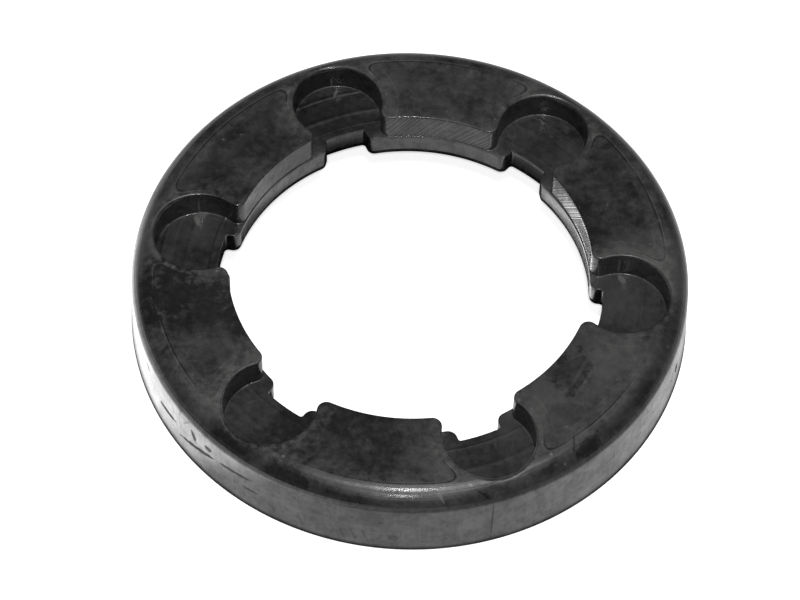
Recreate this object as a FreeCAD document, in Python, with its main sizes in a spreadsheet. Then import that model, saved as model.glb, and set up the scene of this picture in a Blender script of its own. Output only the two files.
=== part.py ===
# Coil spring insulator: a moulded rubber ring that sits between the end of a
# coil spring and its perch on the chassis. One solid, in millimetres, +Z up,
# with the ring's axis on Z and the rim of its skirt standing on Z = 0.

import FreeCAD
import Part
import Sketcher
import math
import os

doc = FreeCAD.newDocument("SpringInsulator")

# Driving sizes. Heights are measured upwards from the rim of the skirt.
sizes = {
    "boreDiameter": 96.2,       # across the faces of the flange tabs
    "seatWidth": 18.9,          # room for the coil, from the bore to the skirt
    "skirtThickness": 8.0,      # wall round the outside of the coil
    "seatDepth": 7.4,           # from the rim up to the face the coil bears on
    "flangeThickness": 6.1,     # web between the coil seat and the pocket floors
    "padHeight": 8.2,           # pads above the flange
    "padCount": 6,              # pads, and as many pockets and notches
    "padSetback": 0.2,          # ledge of the flange in front of each pad
    "wallInset": 1.0,           # mould draft of the outer wall, foot to shoulder
    "shoulderWidth": 7.3,       # rounded shoulder, measured along the radius
    "shoulderDrop": 4.4,        # and measured down from the pads
    "seatChamfer": 5.0,         # slope where the seat turns down into the skirt
    "pocketRadius": 12.2,       # round scallop between two pads
    "pocketSetback": 8.6,       # from the pads' inner faces to the pocket's centre
    "padCornerRadius": 2.5,     # pad ends, where a pocket opens to the bore
    "notchWidth": 11.6,         # gap between two flange tabs
    "notchDepth": 3.6,          # measured from the bore
    "tabCornerRadius": 2.5,     # ends of the tabs
    "tabFootChamfer": 0.4,      # lower edge of the flange round the bore
    "rimChamfer": 0.5,          # both edges of the skirt's rim
    "ringMarkCount": 3,         # turning marks the mould leaves in a pocket
    "ringMarkHeight": 0.25,
    "ringMarkWidth": 0.8,
    "ringMarkMargin": 2.3,      # from the notch to the first mark
    "ringMarkPitch": 6.5,
}

sheet = doc.addObject("Spreadsheet::Sheet", "Sizes")
for row, (alias, value) in enumerate(sizes.items(), start=1):
    sheet.set("A%d" % row, alias)
    sheet.set("B%d" % row, str(value))
    sheet.setAlias("B%d" % row, alias)
doc.recompute()

# Places that several features share, as expressions on the sheet.
boreRadius = "Sizes.boreDiameter / 2"
skirtRadius = boreRadius + " + Sizes.seatWidth"
outerRadius = skirtRadius + " + Sizes.skirtThickness"
padRadius = boreRadius + " + Sizes.padSetback"
notchRadius = boreRadius + " + Sizes.notchDepth"
flatRadius = outerRadius + " - Sizes.shoulderWidth"
wallTopRadius = outerRadius + " - Sizes.wallInset"
flangeTop = "Sizes.seatDepth + Sizes.flangeThickness"
padTop = flangeTop + " + Sizes.padHeight"
wallTop = padTop + " - Sizes.shoulderDrop"
pocketCentre = padRadius + " + Sizes.pocketSetback"
ringMarkStart = notchRadius + " + Sizes.ringMarkMargin"


def measure(expression):
    """The present value of an expression on the sheet."""
    return sheet.evalExpression(expression.replace("Sizes.", "")) * 1.0


body = doc.addObject("PartDesign::Body", "InsulatorRing")
body.Label = "insulator_ring"


def originFeature(role):
    """One of the body's own origin planes or axes."""
    return [item for item in body.Origin.OriginFeatures if item.Role == role][0]


def newSketch(name, plane, height=None):
    """A sketch on an origin plane, lifted along its normal by an expression."""
    sketch = body.newObject("Sketcher::SketchObject", name)
    sketch.AttachmentSupport = [(originFeature(plane), "")]
    sketch.MapMode = "FlatFace"
    if height:
        sketch.setExpression("AttachmentOffset.Base.z", height)
    return sketch


def fix(sketch, name, kind, target, expression):
    """A named dimension of the sketch, bound to the sheet."""
    index = sketch.addConstraint(Sketcher.Constraint(kind, *target, measure(expression)))
    sketch.renameConstraint(index, name)
    sketch.setExpression("Constraints." + name, expression)


def point(x, y):
    return FreeCAD.Vector(x, y, 0)


def joinEnds(sketch, pairs):
    """Closes a run of edges: each pair is an edge and the edge that follows it."""
    for first, second in pairs:
        sketch.addConstraint(Sketcher.Constraint("Coincident", first, 2, second, 1))


def patternOf(feature, name):
    """The feature repeated round the ring, once for each pad."""
    pattern = body.newObject("PartDesign::PolarPattern", name)
    pattern.Originals = [feature]
    pattern.Axis = (originFeature("Z_Axis"), [""])
    pattern.Angle = 360
    pattern.setExpression("Occurrences", "Sizes.padCount")
    body.Tip = pattern
    doc.recompute()
    return pattern


def requireVolume(feature, before, sign, step):
    """Stops if a feature left the solid as it was or changed it the wrong way."""
    change = feature.Shape.Volume - before
    if change * sign <= 0:
        raise RuntimeError("%s changed the volume by %.3f" % (step, change))
    return feature.Shape.Volume


# Section of the ring, without pockets or notches. The radius runs along X and
# the height along Y.
section = newSketch("RingSection", "XZ_Plane")
outer = measure(outerRadius)
bore = measure(boreRadius)
padFace = measure(padRadius)
flat = measure(flatRadius)
wallEnd = measure(wallTopRadius)
skirt = measure(skirtRadius)
seat = sizes["seatDepth"]
flange = measure(flangeTop)
top = measure(padTop)
wallHead = measure(wallTop)
slope = sizes["seatChamfer"]

shoulderRadius = ((wallEnd - flat) ** 2 + (top - wallHead) ** 2) / (2 * (top - wallHead))
shoulderCentre = point(flat, top - shoulderRadius)
shoulderEnd = math.atan2(wallHead - shoulderCentre.y, wallEnd - flat)

tabFace = section.addGeometry(Part.LineSegment(point(bore, seat), point(bore, flange)))
ledge = section.addGeometry(Part.LineSegment(point(bore, flange), point(padFace, flange)))
padWall = section.addGeometry(Part.LineSegment(point(padFace, flange), point(padFace, top)))
padFlat = section.addGeometry(Part.LineSegment(point(padFace, top), point(flat, top)))
shoulder = section.addGeometry(Part.ArcOfCircle(
    Part.Circle(shoulderCentre, FreeCAD.Vector(0, 0, 1), shoulderRadius),
    shoulderEnd, math.pi / 2))
wall = section.addGeometry(Part.LineSegment(point(wallEnd, wallHead), point(outer, 0)))
rim = section.addGeometry(Part.LineSegment(point(outer, 0), point(skirt, 0)))
skirtFace = section.addGeometry(Part.LineSegment(point(skirt, 0), point(skirt, seat - slope)))
seatSlope = section.addGeometry(Part.LineSegment(point(skirt, seat - slope), point(skirt - slope, seat)))
seatFace = section.addGeometry(Part.LineSegment(point(skirt - slope, seat), point(bore, seat)))

joinEnds(section, [(tabFace, ledge), (ledge, padWall), (padWall, padFlat), (wall, rim),
                   (rim, skirtFace), (skirtFace, seatSlope), (seatSlope, seatFace),
                   (seatFace, tabFace)])
# An arc's first end is where its angle starts, so the shoulder runs wall to flat.
section.addConstraint(Sketcher.Constraint("Tangent", padFlat, 2, shoulder, 2))
section.addConstraint(Sketcher.Constraint("Coincident", shoulder, 1, wall, 1))
for edge in (tabFace, padWall, skirtFace):
    section.addConstraint(Sketcher.Constraint("Vertical", edge))
for edge in (ledge, padFlat, rim, seatFace):
    section.addConstraint(Sketcher.Constraint("Horizontal", edge))
section.addConstraint(Sketcher.Constraint("PointOnObject", wall, 2, -1))
fix(section, "boreRadius", "DistanceX", (-1, 1, tabFace, 1), boreRadius)
fix(section, "padRadius", "DistanceX", (-1, 1, padWall, 1), padRadius)
fix(section, "flatRadius", "DistanceX", (-1, 1, padFlat, 2), flatRadius)
fix(section, "wallTopRadius", "DistanceX", (-1, 1, wall, 1), wallTopRadius)
fix(section, "outerRadius", "DistanceX", (-1, 1, wall, 2), outerRadius)
fix(section, "skirtRadius", "DistanceX", (-1, 1, skirtFace, 1), skirtRadius)
fix(section, "seatHeight", "DistanceY", (-1, 1, tabFace, 1), "Sizes.seatDepth")
fix(section, "flangeTop", "DistanceY", (-1, 1, tabFace, 2), flangeTop)
fix(section, "padTop", "DistanceY", (-1, 1, padWall, 2), padTop)
fix(section, "wallTop", "DistanceY", (-1, 1, wall, 1), wallTop)
fix(section, "slopeWidth", "DistanceX", (seatSlope, 2, seatSlope, 1), "Sizes.seatChamfer")
fix(section, "slopeHeight", "DistanceY", (seatSlope, 1, seatSlope, 2), "Sizes.seatChamfer")

ring = body.newObject("PartDesign::Revolution", "Ring")
ring.Profile = section
ring.ReferenceAxis = (section, ["V_Axis"])
ring.Angle = 360
body.Tip = ring
doc.recompute()
volume = requireVolume(ring, 0, 1, "Ring")

# A round pocket is sunk to the top of the flange between each two pads, the
# first of them on the X axis.
pocketPlan = newSketch("PocketPlan", "XY_Plane", flangeTop)
pocketCircle = pocketPlan.addGeometry(Part.Circle(
    point(measure(pocketCentre), 0), FreeCAD.Vector(0, 0, 1), sizes["pocketRadius"]))
pocketPlan.addConstraint(Sketcher.Constraint("PointOnObject", pocketCircle, 3, -1))
fix(pocketPlan, "centre", "DistanceX", (-1, 1, pocketCircle, 3), pocketCentre)
fix(pocketPlan, "radius", "Radius", (pocketCircle,), "Sizes.pocketRadius")

pocket = body.newObject("PartDesign::Pocket", "Pocket")
pocket.Profile = pocketPlan
pocket.Type = "ThroughAll"
pocket.Reversed = True
body.Tip = pocket
doc.recompute()
requireVolume(pocket, volume, -1, "Pocket")
pockets = patternOf(pocket, "Pockets")
volume = requireVolume(pockets, pocket.Shape.Volume, -1, "Pockets")


def uprightEdges(shape, radius, bottom, head):
    """Straight upright edges at a radius, between two heights."""
    found = []
    for number, edge in enumerate(shape.Edges, start=1):
        box = edge.BoundBox
        upright = box.XLength < 0.01 and box.YLength < 0.01
        reach = math.hypot(box.Center.x, box.Center.y)
        ends = max(abs(reach - radius), abs(box.ZMin - bottom), abs(box.ZMax - head))
        if upright and ends < 0.01:
            found.append("Edge%d" % number)
    return found


def roundEdges(name, base, edges, radius):
    """A fillet on the named edges, its radius bound to the sheet."""
    fillet = body.newObject("PartDesign::Fillet", name)
    fillet.Base = (base, edges)
    fillet.setExpression("Radius", radius)
    body.Tip = fillet
    doc.recompute()
    return fillet


# The pads' ends are rounded where a pocket opens to the bore.
padEnds = roundEdges("PadEnds", pockets, uprightEdges(pockets.Shape, padFace, flange, top),
                     "Sizes.padCornerRadius")

# Turning marks: low rings on the flange that show only in the pockets, because
# the pads cover the rest of each ring.
markPlan = newSketch("MarkPlan", "XZ_Plane")
markSink = sizes["flangeThickness"] / 4
for number in range(sizes["ringMarkCount"]):
    centre = measure(ringMarkStart) + number * sizes["ringMarkPitch"]
    half = sizes["ringMarkWidth"] / 2
    corners = [point(centre - half, flange - markSink), point(centre + half, flange - markSink),
               point(centre + half, flange), point(centre, flange + sizes["ringMarkHeight"]),
               point(centre - half, flange)]
    edges = []
    for start, end in zip(corners, corners[1:] + corners[:1]):
        edges.append(markPlan.addGeometry(Part.LineSegment(start, end)))
    joinEnds(markPlan, list(zip(edges, edges[1:] + edges[:1])))
    markPlan.addConstraint(Sketcher.Constraint("Horizontal", edges[0]))
    markPlan.addConstraint(Sketcher.Constraint("Vertical", edges[1]))
    markPlan.addConstraint(Sketcher.Constraint("Vertical", edges[4]))
    markPlan.addConstraint(Sketcher.Constraint("Equal", edges[1], edges[4]))
    markPlan.addConstraint(Sketcher.Constraint("Equal", edges[2], edges[3]))
    place = "%s + %d * Sizes.ringMarkPitch" % (ringMarkStart, number)
    fix(markPlan, "radius%d" % number, "DistanceX", (-1, 1, edges[3], 1), place)
    fix(markPlan, "peak%d" % number, "DistanceY", (-1, 1, edges[3], 1),
        flangeTop + " + Sizes.ringMarkHeight")
    fix(markPlan, "foot%d" % number, "DistanceY", (-1, 1, edges[2], 1), flangeTop)
    fix(markPlan, "root%d" % number, "DistanceY", (-1, 1, edges[0], 1),
        flangeTop + " - Sizes.flangeThickness / 4")
    fix(markPlan, "width%d" % number, "DistanceX", (edges[0], 1, edges[0], 2), "Sizes.ringMarkWidth")

marks = body.newObject("PartDesign::Revolution", "TurningMarks")
marks.Profile = markPlan
marks.ReferenceAxis = (markPlan, ["V_Axis"])
marks.Angle = 360
body.Tip = marks
doc.recompute()
volume = requireVolume(marks, padEnds.Shape.Volume, 1, "TurningMarks")

# Below each pocket the flange is notched, which leaves a tab under each pad
# that reaches a little past the pad's ends.
notchPlan = newSketch("NotchPlan", "XY_Plane", flangeTop)
notch = measure(notchRadius)
halfNotch = sizes["notchWidth"] / 2
notchAngle = math.asin(halfNotch / notch)
notchEnd = notch * math.cos(notchAngle)
mouth = bore - sizes["notchDepth"]
notchFace = notchPlan.addGeometry(Part.ArcOfCircle(
    Part.Circle(point(0, 0), FreeCAD.Vector(0, 0, 1), notch), -notchAngle, notchAngle))
farSide = notchPlan.addGeometry(Part.LineSegment(point(notchEnd, halfNotch), point(mouth, halfNotch)))
mouthLine = notchPlan.addGeometry(Part.LineSegment(point(mouth, halfNotch), point(mouth, -halfNotch)))
nearSide = notchPlan.addGeometry(Part.LineSegment(point(mouth, -halfNotch), point(notchEnd, -halfNotch)))
joinEnds(notchPlan, [(notchFace, farSide), (farSide, mouthLine), (mouthLine, nearSide),
                     (nearSide, notchFace)])
notchPlan.addConstraint(Sketcher.Constraint("Coincident", notchFace, 3, -1, 1))
notchPlan.addConstraint(Sketcher.Constraint("Horizontal", farSide))
notchPlan.addConstraint(Sketcher.Constraint("Horizontal", nearSide))
notchPlan.addConstraint(Sketcher.Constraint("Symmetric", mouthLine, 1, mouthLine, 2, -1))
fix(notchPlan, "notchRadius", "Radius", (notchFace,), notchRadius)
fix(notchPlan, "mouth", "DistanceX", (-1, 1, mouthLine, 1), boreRadius + " - Sizes.notchDepth")
fix(notchPlan, "width", "DistanceY", (mouthLine, 2, mouthLine, 1), "Sizes.notchWidth")

notchCut = body.newObject("PartDesign::Pocket", "Notch")
notchCut.Profile = notchPlan
notchCut.Type = "ThroughAll"
body.Tip = notchCut
doc.recompute()
requireVolume(notchCut, volume, -1, "Notch")
notches = patternOf(notchCut, "Notches")
volume = requireVolume(notches, notchCut.Shape.Volume, -1, "Notches")

tabEnds = roundEdges("TabEnds", notches, uprightEdges(notches.Shape, bore, seat, flange),
                     "Sizes.tabCornerRadius")


def levelEdges(shape, height, nearest, furthest):
    """Edges that lie at one height, between two radii."""
    found = []
    for number, edge in enumerate(shape.Edges, start=1):
        box = edge.BoundBox
        level = abs(box.ZMin - height) < 0.01 and abs(box.ZMax - height) < 0.01
        middle = edge.valueAt((edge.FirstParameter + edge.LastParameter) / 2)
        reach = math.hypot(middle.x, middle.y)
        if level and nearest < reach < furthest:
            found.append("Edge%d" % number)
    return found


def breakEdges(name, base, edges, size):
    """A chamfer on the named edges, its size bound to the sheet."""
    chamfer = body.newObject("PartDesign::Chamfer", name)
    chamfer.Base = (base, edges)
    chamfer.setExpression("Size", size)
    body.Tip = chamfer
    doc.recompute()
    return chamfer


# The flange's lower edge is broken all along the bore and the notches.
tabFeet = breakEdges("TabFeet", tabEnds, levelEdges(tabEnds.Shape, seat, bore - 1, notch + 1),
                     "Sizes.tabFootChamfer")
breakEdges("RimEdges", tabFeet, levelEdges(tabFeet.Shape, 0, skirt - 1, outer + 1),
           "Sizes.rimChamfer")

doc.recompute()
for item in doc.Objects:
    faults = [word for word in ("Invalid", "Error") if word in item.State]
    if faults:
        raise RuntimeError("%s is %s" % (item.Label, ", ".join(faults)))
if body.Shape.isNull() or not body.Shape.isValid() or len(body.Shape.Solids) != 1:
    raise RuntimeError("The ring isn't one valid solid")

os.makedirs("parts", exist_ok=True)
body.Shape.exportStep("parts/%s.step" % body.Label)
print("%s: %.1f cm3, %d faces" % (body.Label, body.Shape.Volume / 1000, len(body.Shape.Faces)))
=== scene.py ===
import bpy
import bmesh
import numpy as np
from math import acos, atan, atan2, cos, pi, radians, sin, sqrt
from mathutils import Matrix, Vector


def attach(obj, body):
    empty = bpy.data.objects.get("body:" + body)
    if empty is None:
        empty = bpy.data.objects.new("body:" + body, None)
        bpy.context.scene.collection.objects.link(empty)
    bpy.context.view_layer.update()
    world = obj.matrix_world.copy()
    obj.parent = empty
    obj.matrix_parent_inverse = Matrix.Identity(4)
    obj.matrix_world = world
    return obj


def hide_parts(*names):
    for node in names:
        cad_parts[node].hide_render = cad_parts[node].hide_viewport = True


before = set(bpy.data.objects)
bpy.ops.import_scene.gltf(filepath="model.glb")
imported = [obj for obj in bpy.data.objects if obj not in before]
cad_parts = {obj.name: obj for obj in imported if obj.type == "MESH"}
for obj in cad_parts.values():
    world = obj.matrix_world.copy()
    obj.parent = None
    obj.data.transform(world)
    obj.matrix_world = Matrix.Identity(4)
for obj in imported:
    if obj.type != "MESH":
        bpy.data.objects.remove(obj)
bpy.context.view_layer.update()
mm = 0.001
print("frame loaded")

# The moulding, in millimetres, heights from the rim that it stands on
ring = {
    "sectors": 6,            # a pocket and half a pad each side of it
    "bore": 48.1,            # radius of the tab faces
    "padFace": 48.35,        # the pads stand a little back from them
    "notch": 51.7,           # radius of the bottom of a notch
    "halfNotch": 5.8,
    "notchCorner": 0.7,
    "tabCorner": 2.5,
    "padCorner": 2.5,
    "pocket": 12.2,
    "pocketCentre": 56.9,
    "flat": 67.7,            # out to here the pads are flat, then the shoulder falls away
    "collar": 72.0,          # from here outwards every row is a circle
    "wallTop": 74.0,         # the outer wall, where it would meet the shoulder
    "outer": 74.97,          # and at its foot
    "skirt": 67.0,           # inside of the skirt
    "seatSlope": 5.0,        # the sloping corner of the seat, each way
    "seat": 7.4,             # heights: the seat's roof,
    "flange": 13.5,          # the bore flange and the pockets' floors,
    "wallHead": 17.3,        # the place where the wall would meet the shoulder
    "top": 21.7,             # and the pads
    "rimSoft": 0.45,         # rounding of the pads' edges
    "rimSoftest": 1.1,       # and of the pockets' outer ends, between two bearings round them
    "outerEnd": (radians(85), radians(25)),
    "floorSoft": 0.25,       # rounding at the foot of a pocket's wall
    "ledgeSoft": 0.08,       # and at the foot of a pad's face
    "shoulderSoft": 2.6,     # rounding between the shoulder and the wall
    "footSoft": 0.5,         # and of the rim's two edges
    "tabSoft": 0.1,          # and of the flange's
    "tabBevel": 7.9,         # under this height the flange's edge slopes back
    "tabBevelDepth": 0.3,
    "tabBevelSoft": 0.2,
    "lip": 6.1,              # it ends in a small lip below the seat
    "lipRun": 1.6,
    "markHalf": 0.4,         # half the width of a turning mark on a pocket's floor
    "marks": (               # radius and height of each, pocket by pocket from +X
        ((54.0, 0.05), (62.3, 0.2), (67.0, 0.06)),
        ((54.0, 0.04), (60.4, 0.06), (65.2, 0.05)),
        ((54.0, 0.06), (58.3, 0.16), (65.2, 0.22)),
        ((53.8, 0.2), (60.4, 0.2), (64.0, -0.1), (67.2, 0.22)),
        ((54.0, 0.05), (60.4, 0.07), (65.2, 0.04)),
        ((54.0, 0.05), (60.4, 0.06), (65.2, 0.05)),
    ),
    "floorStart": 52.9,      # inside this radius the floor follows the notch
    "padLineRadius": 68.0,   # the outline that the mould's insert left on each pad
    "padLineGap": 1.8,       # how far it keeps from the pockets' rims
    "padLineCorner": 4.0,
}
# How finely each stretch is divided
grid = {
    "pocketStep": 0.085,     # radians round the pocket
    "corner": 11,            # round a pad's corner
    "pad": 13,               # along half a pad's face
    "cornerBearing": radians(19.5),    # where the columns of a pad's corner reach the wall
    "padBearing": radians(24),         # and those of its face
    "notchArc": 15,
    "notchCorner": 6,
    "notchSide": 4,
    "tabCorner": 10,
    "tabEven": 0.45,         # 1 spreads the columns evenly over a tab's face, 0 crowds its corner
    "foot": 3,               # the rounding at the foot of the pads' walls, then the wall itself
    "wall": 5,
    "round": 6,              # and the rounding of its edge
    "sheet": 24,             # the top, out to the collar
    "shoulder": 6,
    "outside": 8,
    "footRound": 5,
    "rim": 4,
    "skirtRound": 4,
    "skirt": 3,
    "slope": 4,
    "roof": 6,               # the seat's, in to the bore
    "floor": 6,              # between the bore and a pocket's floor
    "merge": 2e-7,           # points closer than this are one, in metres
}


def polar(radius, turn):
    # points at a radius and a bearing from the axis
    return np.stack([radius * np.cos(turn), radius * np.sin(turn)], -1)


def smooth(low, high, x):
    # 0 below low, 1 above high, an S-shaped curve between
    t = np.clip((x - low) / (high - low), 0, 1)
    return t * t * (3 - 2 * t)


def turned(points, angle):
    # points turned about the axis
    c, s = cos(angle), sin(angle)
    return points @ np.array([[c, s, 0], [-s, c, 0], [0, 0, 1]])


def shoulderRadius():
    # of the circle that is level where the flat ends and runs through the head of the wall
    run, drop = ring["wallTop"] - ring["flat"], ring["top"] - ring["wallHead"]
    return (run * run + drop * drop) / (2 * drop)


def topHeight(radius):
    # flat out to ring["flat"], then along the shoulder's circle
    bend = shoulderRadius()
    past = np.maximum(radius - ring["flat"], 0)
    return ring["top"] - bend + np.sqrt(bend * bend - past * past)


def markRise(radius, marks):
    # each turning mark is one wave, a raised cosine across its width
    rise = np.zeros_like(radius)
    for at, height in marks:
        off = np.clip(np.abs(radius - at) / ring["markHalf"], 0, 1)
        rise = rise + height * 0.5 * (1 + np.cos(pi * off))
    return rise


def padPlan():
    # Half a sector in plan, from the middle of a pocket to the middle of a pad: the outline of
    # the raised part, the direction into the rubber, its rounding and the bearing on the wall.
    # pocket: a circle centred on the x axis; corner: a circle that touches the pocket's from
    # outside and the pad's face from inside; face: a circle about the axis
    centre = ring["pocketCentre"]
    reach, span = ring["padFace"] + ring["padCorner"], ring["pocket"] + ring["padCorner"]
    cornerTurn = acos((reach * reach + centre * centre - span * span) / (2 * reach * centre))
    corner = polar(reach, cornerTurn)
    cornerStart = atan2(corner[1], corner[0] - centre)
    inner = ring["pocket"] - ring["floorSoft"]
    # a column runs along each turning mark's middle and edges, and where the floor starts
    radii = sorted({r for marks in ring["marks"] for r, _ in marks})
    arcs = [r + k * ring["markHalf"] for r in radii for k in (-1, 0, 1)]
    arcs = [r for r in arcs if r < centre + inner] + [ring["floorStart"]]
    turns = sorted(acos((r * r - centre * centre - inner * inner) / (2 * centre * inner)) for r in arcs)
    knots = [0.0] + turns + [cornerStart]
    pocketTurn = [np.zeros(1)]
    for low, high in zip(knots, knots[1:]):
        steps = max(1, round((high - low) / grid["pocketStep"]))
        pocketTurn.append(np.linspace(low, high, steps + 1)[1:])
    pocketTurn = np.concatenate(pocketTurn)
    floorEnd = int(np.argmin(np.abs(pocketTurn - knots[-2])))
    around = np.linspace(cornerStart - pi, cornerTurn - pi, grid["corner"] + 1)[1:]
    face = np.linspace(cornerTurn, pi / ring["sectors"], grid["pad"] + 1)[1:]
    edge = np.concatenate([
        polar(ring["pocket"], pocketTurn) + [centre, 0],
        corner + polar(ring["padCorner"], around),
        polar(ring["padFace"], face),
    ])
    into = np.concatenate([polar(1, pocketTurn), -polar(1, around), polar(1, face)])
    outerEnd = smooth(*ring["outerEnd"], pocketTurn)
    soft = np.full(len(edge), ring["rimSoft"])
    soft[:len(pocketTurn)] += (ring["rimSoftest"] - ring["rimSoft"]) * outerEnd
    bearing = np.concatenate([
        np.interp(pocketTurn, [0, cornerStart], [0, grid["cornerBearing"]]),
        np.linspace(grid["cornerBearing"], grid["padBearing"], grid["corner"] + 1)[1:],
        np.linspace(grid["padBearing"], pi / ring["sectors"], grid["pad"] + 1)[1:],
    ])
    footSoft = np.concatenate([
        np.full(len(pocketTurn), ring["floorSoft"]),
        np.linspace(ring["floorSoft"], ring["ledgeSoft"], grid["corner"] + 1)[1:],
        np.full(grid["pad"], ring["ledgeSoft"]),
    ])
    foot = edge - into * footSoft[:, None]
    return {"edge": edge, "into": into, "soft": soft, "bearing": bearing, "floorEnd": floorEnd,
            "foot": foot, "footSoft": footSoft,
            "pocketEnd": len(pocketTurn) - 1, "cornerTurn": cornerTurn, "face": face}


def borePlan(plan):
    # The notched bore on the same columns: the notch's floor, its inner corner, its side, the
    # tab's corner and the tab's face, and the direction into the rubber
    notch, bend, half = ring["notch"], ring["notchCorner"], ring["halfNotch"]
    bore, soft = ring["bore"], ring["tabCorner"]
    inner = np.array([sqrt((notch - bend) ** 2 - (half - bend) ** 2), half - bend])
    tab = np.array([sqrt((bore + soft) ** 2 - (half + soft) ** 2), half + soft])
    innerTurn, tabTurn = atan2(inner[1], inner[0]), atan2(tab[1], tab[0])
    floor = np.linspace(0, innerTurn, grid["notchArc"] + 1)
    corner = np.linspace(innerTurn, pi / 2, grid["notchCorner"] + 1)[1:]
    side = np.linspace(inner[0], tab[0], grid["notchSide"] + 1)[1:]
    around = np.linspace(-pi / 2, tabTurn - pi, grid["tabCorner"] + 1)[1:]
    cornerEnd = plan["pocketEnd"] + grid["corner"]
    # the columns that are left over spread along the tab's face, closer together at its corner
    left = cornerEnd - (len(floor) + len(corner) + len(side) + len(around) - 1)
    share = np.linspace(0, 1, left + 1)[1:]
    even = grid["tabEven"]
    face = tabTurn + (plan["cornerTurn"] - tabTurn) * (even * share + (1 - even) * share ** 3)
    face = np.concatenate([face, plan["face"]])
    edge = np.concatenate([
        polar(notch, floor),
        inner + polar(bend, corner),
        np.stack([side, np.full(len(side), half)], 1),
        tab + polar(soft, around),
        polar(bore, face),
    ])
    into = np.concatenate([
        polar(1, floor),
        polar(1, corner),
        np.tile([0.0, 1.0], (len(side), 1)),
        -polar(1, around),
        polar(1, face),
    ])
    return {"edge": edge, "into": into}


def lift(plan, height):
    # plan points and a height, or one height for each column, as rows of three
    heights = np.broadcast_to(np.asarray(height, float).reshape(-1, 1), (len(plan), 1))
    return np.concatenate([plan, heights], 1)


def wallRows(plan):
    # From the floor up the wall and over its rounded edge. The rounding is a quarter circle,
    # carried on past the top by the angle at which the shoulder falls away from the edge
    edge, into, soft, foot = plan["edge"], plan["into"], plan["soft"], plan["footSoft"]
    rows = []
    for a in np.linspace(0, pi / 2, grid["foot"] + 1):
        at = edge - into * (foot * (1 - sin(a)))[:, None]
        rows.append(lift(at, ring["flange"] + foot * (1 - cos(a))))
    # the rounding ends where the shoulder has the same slope, found by a few repeats
    tilt = np.zeros(len(edge))
    for _ in range(4):
        end = edge + into * (soft * (1 + np.sin(tilt)))[:, None]
        step = 0.01
        ahead = topHeight(np.hypot(*(end + into * step).T)) - topHeight(np.hypot(*end.T))
        tilt = np.arctan(-ahead / step)
    centre = topHeight(np.hypot(*end.T)) - soft * np.cos(tilt)
    base = ring["flange"] + foot
    for t in np.linspace(0, 1, grid["wall"] + 1)[1:]:
        rows.append(lift(edge, base + (centre - base) * t))
    for t in np.linspace(0, 1, grid["round"] + 1)[1:]:
        a = t * (pi / 2 + tilt)
        at = edge + into * (soft * (1 - np.cos(a)))[:, None]
        rows.append(lift(at, centre + soft * np.sin(a)))
    return rows, end


def sheetRows(plan, start):
    # The top: straight lines in plan from the edge to the collar, at the height that the
    # radius gives
    stop = polar(ring["collar"], plan["bearing"])
    rows = [start + (stop - start) * t for t in np.linspace(0, 1, grid["sheet"] + 1)[1:]]
    return [lift(at, topHeight(np.hypot(*at.T))) for at in rows]


def arc(centre, radius, start, stop, steps):
    # radius and height along a circle in the section
    turn = np.linspace(start, stop, steps + 1)
    return np.stack([centre[0] + radius * np.cos(turn), centre[1] + radius * np.sin(turn)], 1)


def sectionRows(plan):
    # Outside, rim, skirt and seat, turned round the axis: the shoulder's circle, a small circle
    # that touches it and the wall, the wall, the rounded rim, the skirt and the sloping seat
    bend = shoulderRadius()
    hub = np.array([ring["flat"], ring["top"] - bend])
    draft = atan((ring["outer"] - ring["wallTop"]) / ring["wallHead"])
    face = np.array([cos(draft), sin(draft)])
    soft, foot = ring["shoulderSoft"], ring["footSoft"]
    back = (hub - [ring["wallTop"], ring["wallHead"]]) @ face
    meet = draft + acos((-soft - back) / (bend - soft))
    small = hub + (bend - soft) * np.array([cos(meet), sin(meet)])
    start = acos((ring["collar"] - ring["flat"]) / bend)
    outside = [arc(hub, bend, start, meet, grid["shoulder"])[1:],
               arc(small, soft, meet, draft, grid["shoulder"])[1:]]
    wallFoot = np.array([ring["outer"] - foot, foot])
    head, low = small + soft * face, wallFoot + foot * face
    outside.append(np.linspace(head, low, grid["outside"] + 1)[1:])
    outside.append(arc(wallFoot, foot, draft, -pi / 2, grid["footRound"])[1:])
    rim = np.array([ring["skirt"] + foot, foot])
    outside.append(np.linspace(wallFoot - [0, foot], rim - [0, foot], grid["rim"] + 1)[1:])
    outside.append(arc(rim, foot, -pi / 2, -pi, grid["skirtRound"])[1:])
    slopeFoot = [ring["skirt"], ring["seat"] - ring["seatSlope"]]
    slopeHead = [ring["skirt"] - ring["seatSlope"], ring["seat"]]
    outside.append(np.linspace(rim - [foot, 0], slopeFoot, grid["skirt"] + 1)[1:])
    outside.append(np.linspace(slopeFoot, slopeHead, grid["slope"] + 1)[1:])
    section = np.concatenate(outside)
    return [lift(polar(r, plan["bearing"]), z) for r, z in section]


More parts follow.
